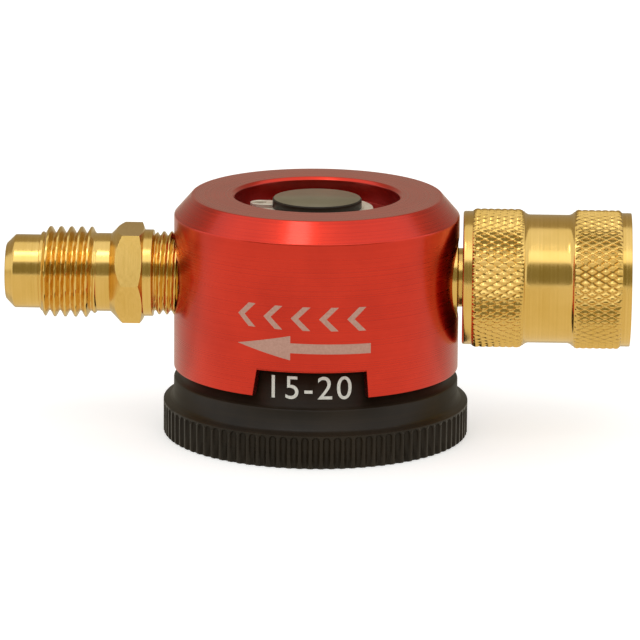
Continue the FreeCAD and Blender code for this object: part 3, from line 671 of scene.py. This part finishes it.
def band(name, arc, low, high):
    """A thin etched shape on the body's side. Its outline is the heights low and high
    over arc lengths to the right of the front, and it is closed a little below the
    surface."""
    angle = front_angle(arc)
    outer = BODY_R + MARK_RISE
    inner = BODY_R - MARK_SINK
    points = np.stack([
        round_z(outer, high, angle), round_z(outer, low, angle),
        round_z(inner, low, angle), round_z(inner, high, angle),
    ])
    columns = len(angle)
    first = np.arange(4) * columns
    sides = grid_faces(4, columns, wrap_rows=True, wrap_columns=False)[:, ::-1]
    faces = [*sides, first, (first + columns - 1)[::-1]]
    dressed(meshed(name, points, faces), etched, "housing")


def front_angle(arc):
    """The angle of an arc length in millimetres to the right of the body's front."""
    return -math.pi / 2 + np.asarray(arc) / BODY_R


def make_arrow():
    """The etched arrow: half its height grows in a line from the tip to the head's back,
    then stays at the shaft's. It leans down to the right by a small slope."""
    head = np.linspace(ARROW_TIP, ARROW_HEAD_BACK, ARROW_HEAD_COLUMNS)
    shaft = np.linspace(ARROW_HEAD_BACK, ARROW_TAIL, ARROW_SHAFT_COLUMNS)
    arc = np.concatenate([head, shaft])
    growth = (head - ARROW_TIP) / (ARROW_HEAD_BACK - ARROW_TIP)
    half = np.concatenate([growth * ARROW_HEAD / 2, np.full(len(shaft), ARROW_SHAFT / 2)])
    half[0] = MARK_POINT
    middle = ARROW_Z + ARROW_SLOPE * arc
    band("flow_arrow", arc, middle - half, middle + half)


def make_chevrons():
    """Plain chevrons that point along the flow: across each one the two arms are
    straight strokes, so an arm's heights move out from the middle as the arc grows."""
    across = np.array([0.0, CHEVRON_STROKE, CHEVRON_DEPTH, CHEVRON_DEPTH + CHEVRON_STROKE])
    half = CHEVRON_HEIGHT / 2
    steepness = half / CHEVRON_DEPTH
    outer = np.clip(across * steepness, MARK_POINT, half)
    inner = np.clip((across - CHEVRON_STROKE) * steepness, 0.0, half - MARK_POINT)
    for number in range(CHEVRON_COUNT):
        arc = CHEVRON_START + number * CHEVRON_PITCH + across
        middle = CHEVRON_Z + ARROW_SLOPE * arc
        for low, high, name in ((inner, outer, "upper"), (-outer, -inner, "lower")):
            band(f"flow_chevron_{number + 1}_{name}", arc, middle + low, middle + high)


def make_numbers():
    """The numbers of the three stations, as meshes of plain letters bent round the label
    wall: a letter's across becomes an angle, its up becomes a height, and its front and
    back lie just outside and inside the wall."""
    for text, station in STATIONS:
        curve = bpy.data.curves.new("number_" + text, "FONT")
        curve.body = text
        curve.align_x = "CENTER"
        curve.align_y = "CENTER"
        curve.space_character = LABEL_SPACING
        curve.extrude = NUMBER_EXTRUSION
        holder = linked("number_holder", curve)
        mesh = evaluated_mesh(holder)
        bpy.data.objects.remove(holder)
        flat = np.zeros(len(mesh.vertices) * 3)
        mesh.vertices.foreach_get("co", flat)
        flat = flat.reshape(-1, 3)
        flat[:, :2] -= (flat[:, :2].max(0) + flat[:, :2].min(0)) / 2
        tall = LABEL_HEIGHT / np.ptp(flat[:, 1])
        wide = min(tall, LABEL_WIDTH / np.ptp(flat[:, 0]))
        angle = front_angle(0) + math.radians(station) + flat[:, 0] * wide / LABEL_R
        radius = LABEL_R + np.where(flat[:, 2] > 0, NUMBER_RISE, -MARK_SINK)
        bent = round_z(radius, LABEL_Z + flat[:, 1] * tall, angle) * MM
        mesh.vertices.foreach_set("co", bent.ravel())
        made = linked("station_number_" + text, mesh)
        dressed(made, white_print, "selector")


def turned_brass(name, rows, angle, side, body, node):
    """A brass piece turned about the port axis, from closed rows of (radius, distance)
    out along X times side. Each of the two is one number or one for every angle."""
    radius, along = [
        np.array([np.broadcast_to(value, angle.shape) for value in values])
        for values in zip(*rows)
    ]
    points = round_x(radius, side * along, angle[None])
    faces = grid_faces(len(rows), len(angle))[:, ::-side]
    dressed(meshed(name, points, faces), brass, body, [node])


def thread(angle, ends, crest, root, pitch, fade, shift=0.0):
    """Rows of a helical thread: the radius is a triangle wave of the distance over the
    pitch less the turn, clipped at crest and root, and fades to the root at both ends."""
    start, end = ends
    rows = []
    for distance in np.linspace(start, end, int((end - start) / pitch * THREAD_ROWS) + 1):
        phase = ((distance + shift) / pitch - angle / (2 * math.pi)) % 1.0
        wave = np.clip(np.abs(phase - 0.5) * 2 * THREAD_SLOPE - THREAD_ROOT, 0, 1)
        left = np.clip((distance - start) / fade[0], 0, 1)
        right = np.clip((end - distance) / fade[1], 0, 1)
        rows.append((root + (crest - root) * wave * left * right, distance))
    return rows


def make_flare_fitting():
    """The flare fitting. Its hexagon's radius is flat / cos(angle from a flat's middle),
    its chamfers are cones, and the rows where they meet follow both."""
    angle = angles(FLARE_COLUMNS)
    front_corner = math.pi / 2 + math.radians(FLARE_HEX_TURN)
    folded = (angle - front_corner + math.pi / 6) % (math.pi / 3) - math.pi / 6
    hexagon = FLARE_FLAT / np.cos(math.pi / 6 - np.abs(folded))
    corner = FLARE_FLAT / math.cos(math.pi / 6)
    near = (hexagon - FLARE_SHOULDER_R) / (corner - FLARE_SHOULDER_R)
    far = (corner - hexagon) / (corner - FLARE_RELIEF_R)
    rows = [
        (FLARE_BORE_R, FLARE_BACK),
        (FLARE_PIPE_ROOT_R, FLARE_BACK),
        *thread(
            angle, (FLARE_BACK, FLARE_PIPE_END), FLARE_PIPE_R, FLARE_PIPE_ROOT_R,
            FLARE_PIPE_PITCH, FLARE_PIPE_FADE,
        ),
        *rounded([
            (FLARE_PIPE_ROOT_R, FLARE_PIPE_END), (FLARE_SHOULDER_R, FLARE_PIPE_END),
            (FLARE_SHOULDER_R, FLARE_HEX[0]),
        ]),
        (hexagon, FLARE_HEX[0] + FLARE_HEX_CHAMFER * near),
        (hexagon, FLARE_HEX[1] + (FLARE_CONE_END - FLARE_HEX[1]) * far),
        (FLARE_RELIEF_R, FLARE_CONE_END),
        (FLARE_RELIEF_R, FLARE_CONE_END + FLAT_STEP),
        (FLARE_RELIEF_R, FLARE_RELIEF_END),
        *thread(
            angle, FLARE_THREAD, FLARE_THREAD_R, FLARE_ROOT_R,
            FLARE_PITCH, FLARE_THREAD_FADE, FLARE_THREAD_SHIFT,
        ),
        (FLARE_NOSE_R, FLARE_NOSE_START),
        *rounded([
            (FLARE_NOSE_R, FLARE_NOSE_START + FLAT_STEP), (FLARE_NOSE_R, FLARE_NOSE_END),
            (FLARE_FACE_R, FLARE_END), (FLARE_BORE_R, FLARE_END), (FLARE_BORE_R, FLARE_BACK),
        ]),
    ]
    turned_brass("flare_fitting_turned", rows, angle, -1, "housing", "flare_fitting")


def knurl(angle, start, end):
    """Rows of a knurled band: the lower of two triangle waves, one for each hand of the
    slanting grooves, raises four-sided pyramids, whose tips a sine rounds over. Their
    height fades to nothing over NUT_KNURL_FADE at both ends."""
    count = int(round((end - start) / (NUT_KNURL_AXIAL / NUT_KNURL_STEPS)))
    across = NUT_KNURL_ROUND * angle / (2 * math.pi)
    rows = []
    for distance in np.linspace(start, end, count + 1):
        turns = distance / NUT_KNURL_AXIAL
        waves = [1 - np.abs((slanted % 1.0) * 2 - 1) for slanted in (across + turns, across - turns)]
        height = np.sin(np.minimum(*waves) * math.pi / 2)
        fade = np.clip(min(distance - start, end - distance) / NUT_KNURL_FADE, 0, 1)
        rows.append((NUT_KNURL_R - NUT_KNURL_DEPTH * (1 - height * fade), distance))
    return rows


def fillet(start, hand):
    """Rows of the arc that falls from a knurl's end, at its root, into the waist: over a
    turn, the radius is the waist's plus fillet * (1 - cos) and the distance goes with
    fillet * sin. A first short step of the waist keeps it straight to the eye."""
    fall = NUT_KNURL_R - NUT_KNURL_DEPTH - NUT_WAIST_R
    turn = math.acos(1 - fall / NUT_WAIST_FILLET)
    reach = NUT_WAIST_FILLET * math.sin(turn)
    rows = [
        (NUT_WAIST_R + NUT_WAIST_FILLET * (1 - math.cos(part)),
         start + hand * (reach - NUT_WAIST_FILLET * math.sin(part)))
        for part in np.linspace(turn, 0, NUT_FILLET_ROWS)
    ]
    return [*rows, (NUT_WAIST_R, start + hand * (reach + FLAT_STEP))]


def make_swivel_nut():
    """The swivel nut: a plain land, a knurled band, the waist between two fillets, the
    other knurled band and the rounded mouth, then back through its thread's crests, the
    undercut and the bore."""
    angle = angles(NUT_KNURL_ROUND * NUT_KNURL_STEPS)
    rows = [
        *rounded([
            (NUT_BACK_BORE_R, NUT_START), (NUT_LAND_R, NUT_START),
            (NUT_LAND_R, NUT_KNURLS[0][0] - NUT_LAND_GAP),
        ], NUT_BACK_ROUNDING, 4),
        *knurl(angle, *NUT_KNURLS[0]),
        *fillet(NUT_KNURLS[0][1] + NUT_WAIST_GAP, 1),
        *fillet(NUT_KNURLS[1][0] - NUT_WAIST_GAP, -1)[::-1],
        *knurl(angle, *NUT_KNURLS[1]),
        *rounded([
            (NUT_LAND_R, NUT_KNURLS[1][1] + NUT_LAND_GAP), (NUT_LAND_R, NUT_END - NUT_MOUTH_STEP),
            (NUT_LAND_R - NUT_MOUTH_STEP, NUT_END), (NUT_THREAD_R + NUT_THREAD_CHAMFER, NUT_END),
        ], NUT_MOUTH_ROUNDING, 5),
        *rounded([
            (NUT_THREAD_R + NUT_THREAD_CHAMFER, NUT_END), (NUT_THREAD_R, NUT_END - NUT_THREAD_CHAMFER),
            (NUT_THREAD_R, NUT_UNDERCUT[1]), (NUT_UNDERCUT_R, NUT_UNDERCUT[1]),
            (NUT_UNDERCUT_R, NUT_UNDERCUT[0]), (NUT_BACK_BORE_R, NUT_UNDERCUT[0]),
            (NUT_BACK_BORE_R, NUT_START),
        ]),
    ]
    turned_brass("swivel_nut_knurled", rows, angle, 1, "swivel", "swivel_nut")


def make_inlet_stem():
    """The inlet's stem, with a tail in the body, a neck, a barrel with the wire ring's
    groove and a conical seat. The groove is an arc of points round the wire's centre."""
    rows = [
        *rounded([
            (STEM_BORE_R, STEM_BACK), (STEM_TAIL_R, STEM_BACK), (STEM_TAIL_R, STEM_SHOULDER),
            (STEM_NECK_R, STEM_SHOULDER), (STEM_NECK_R, STEM_BARREL),
            (STEM_BARREL_R, STEM_BARREL), (STEM_BARREL_R, RING_X - RING_GROOVE_R),
        ]),
        *[
            (NUT_BACK_BORE_R - RING_GROOVE_R * math.cos(part), RING_X + RING_GROOVE_R * math.sin(part))
            for part in np.linspace(-RING_GROOVE_TURN, RING_GROOVE_TURN, RING_GROOVE_ROWS)
        ],
        *rounded([
            (STEM_BARREL_R, RING_X + RING_GROOVE_R), (STEM_BARREL_R, STEM_END),
            (STEM_SEAT_R, STEM_END), (STEM_BORE_R, STEM_SEAT_START), (STEM_BORE_R, STEM_BACK),
        ]),
    ]
    turned_brass("inlet_stem_turned", rows, angles(ROUND_COLUMNS), 1, "housing", "inlet_stem")


def smooth_copy(node, finish, body, edge=0.0):
    """A copy of a CAD node with its doubles merged and its curved faces smooth, and with
    its edges rounded by a bevel where the light has to catch them."""
    made = linked(node + "_finished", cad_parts[node].data.copy())
    dressed(made, finish, body, [node])
    if edge:
        bevel = made.modifiers.new("edge", "BEVEL")
        bevel.width = edge * MM
        bevel.segments = 2
        bevel.limit_method = "ANGLE"
        bevel.angle_limit = SMOOTH_ANGLE
        bevel.harden_normals = True
    return made


def finish_cad_nodes():
    """Gives the pieces inside, which stay as the CAD has them, their finishes."""
    finishes = {
        rubber: [
            "inlet_seat_o_ring", "outlet_seat_o_ring", "spool_o_ring_lower", "spool_o_ring_upper",
        ],
        ptfe: ["inlet_seat", "outlet_seat", "thrust_washer", "seat_gasket"],
        spring_steel: ["inlet_seat_spring", "outlet_seat_spring", "detent_spring", "swivel_ring"],
        steel: ["detent_ball", "stop_pin"],
        jet_brass: ["jet_small", "jet_medium", "jet_large"],
        bronze: ["inlet_filter"],
    }
    for finish, nodes in finishes.items():
        for node in nodes:
            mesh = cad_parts[node].data
            mesh.materials.clear()
            mesh.materials.append(finish)


def background_rays(tree):
    """1 for the rays by which the camera sees the background, straight or in metal or
    glass, and 0 for the rays that gather light."""
    rays = add(tree, "ShaderNodeLightPath")
    mirrored = add(
        tree, "ShaderNodeMath", {"operation": "MAXIMUM"},
        {0: rays.outputs["Is Glossy Ray"], 1: rays.outputs["Is Transmission Ray"]},
    )
    seen = add(
        tree, "ShaderNodeMath", {"operation": "MAXIMUM"},
        {0: rays.outputs["Is Camera Ray"], 1: mirrored.outputs["Value"]},
    )
    return seen.outputs["Value"]


def staged(name, points, finish):
    """One flat face of the studio, from its corners in millimetres."""
    mesh = bpy.data.meshes.new(name)
    mesh.from_pydata((np.array(points) * MM).tolist(), [], [tuple(range(len(points)))])
    mesh.materials.append(finish)
    made = linked(name, mesh)
    return made


def make_floor():
    """A pale floor, lifted to white for the background's rays, with the shadow kept."""
    made, tree, output = material("pale_floor")
    lift = add(
        tree, "ShaderNodeMath",
        {"operation": "MULTIPLY", 1: FLOOR_LIFT},
        {0: background_rays(tree)},
    )
    plain = add(tree, "ShaderNodeBsdfDiffuse", {"Color": linear(FLOOR_COLOUR)})
    glow = add(
        tree, "ShaderNodeEmission",
        {"Color": (1, 1, 1, 1)},
        {"Strength": lift.outputs["Value"]},
    )
    both = add(
        tree, "ShaderNodeAddShader", None,
        {0: plain.outputs["BSDF"], 1: glow.outputs["Emission"]},
    )
    tree.links.new(both.outputs["Shader"], output.inputs["Surface"])
    signs = ((-1, -1), (1, -1), (1, 1), (-1, 1))
    staged("floor", [(x * FLOOR_HALF, y * FLOOR_HALF, FLOOR_Z) for x, y in signs], made)


def add_card(name, colour, low, high):
    """A card that only mirrored rays see, between two heights or two distances, as a
    studio sets one up to shade bright metal. low and high are (y, z) of its edges."""
    made, tree, output = material(name)
    glow = add(tree, "ShaderNodeEmission", {"Color": linear(colour), "Strength": 1.0})
    tree.links.new(glow.outputs["Emission"], output.inputs["Surface"])
    card = staged(name, [
        (-CARD_HALF_WIDTH, *low), (CARD_HALF_WIDTH, *low),
        (CARD_HALF_WIDTH, *high), (-CARD_HALF_WIDTH, *high),
    ], made)
    card.visible_camera = False
    card.visible_diffuse = False
    card.visible_transmission = False
    card.visible_shadow = False


def light_studio():
    """The room: an even light, and white for the background's rays."""
    world = bpy.data.worlds.new("studio")
    bpy.context.scene.world = world
    world.use_nodes = True
    tree = world.node_tree
    tree.nodes.clear()
    colour = add(
        tree, "ShaderNodeMix",
        {"data_type": "RGBA", 6: linear(ROOM_COLOUR), 7: (1, 1, 1, 1)},
        {0: background_rays(tree)},
    )
    background = add(
        tree, "ShaderNodeBackground",
        {"Strength": 1.0},
        {"Color": colour.outputs[2]},
    )
    output = add(tree, "ShaderNodeOutputWorld")
    tree.links.new(background.outputs["Background"], output.inputs["Surface"])


def direction(azimuth, elevation):
    """The unit vector out from the object towards an azimuth, in degrees to the right of
    the front, and an elevation."""
    azimuth = math.radians(azimuth)
    elevation = math.radians(elevation)
    return Vector((
        math.sin(azimuth) * math.cos(elevation),
        -math.cos(azimuth) * math.cos(elevation),
        math.sin(elevation),
    ))


def add_softbox(name, azimuth, elevation, width, height, power):
    """A soft rectangular lamp that looks at the middle of the object."""
    lamp = bpy.data.lights.new(name, "AREA")
    lamp.shape = "RECTANGLE"
    lamp.size = width
    lamp.size_y = height
    lamp.energy = power
    out = direction(azimuth, elevation)
    made = linked(name, lamp)
    made.location = (Vector((0, 0, LAMP_AIM_Z)) + out * LAMP_DISTANCE) * MM
    made.rotation_euler = out.to_track_quat("Z", "Y").to_euler()


def aim_camera():
    """The photograph's view: a long lens from the front, a little above the object."""
    back = direction(CAMERA_AZIMUTH, CAMERA_ELEVATION)
    azimuth = math.radians(CAMERA_AZIMUTH)
    right = Vector((math.cos(azimuth), math.sin(azimuth), 0))
    target = (right * CAMERA_AIM[0] + Vector((0, 0, CAMERA_AIM[1]))) * MM
    roll = Quaternion((0, 0, 1), math.radians(CAMERA_ROLL))
    lens = bpy.data.cameras.new("camera")
    lens.lens = CAMERA_LENS
    lens.sensor_width = CAMERA_SENSOR
    lens.clip_start = CAMERA_NEAR * MM
    camera = linked("camera", lens)
    camera.location = target + back * (CAMERA_DISTANCE * MM)
    camera.rotation_euler = (back.to_track_quat("Z", "Y") @ roll).to_euler()
    bpy.context.scene.camera = camera


finish_cad_nodes()
make_body()
make_arrow()
make_chevrons()
make_numbers()
make_flare_fitting()
make_swivel_nut()
make_inlet_stem()
smooth_copy("selector_dial", black_anodised, "selector")
spool = smooth_copy("selector_spool", black_anodised, "selector")
refinish(spool, polished_black, RECESS_FLOOR, RECESS_R, SPOOL_END_SLOPE)
smooth_copy("circlip", spring_steel, "selector", CIRCLIP_EDGE)
smooth_copy("dial_screws", steel, "selector")
make_floor()
light_studio()
for card in CARDS:
    add_card(*card)
for softbox in SOFTBOXES:
    add_softbox(*softbox)
aim_camera()

bpy.context.scene.view_settings.view_transform = "Standard"
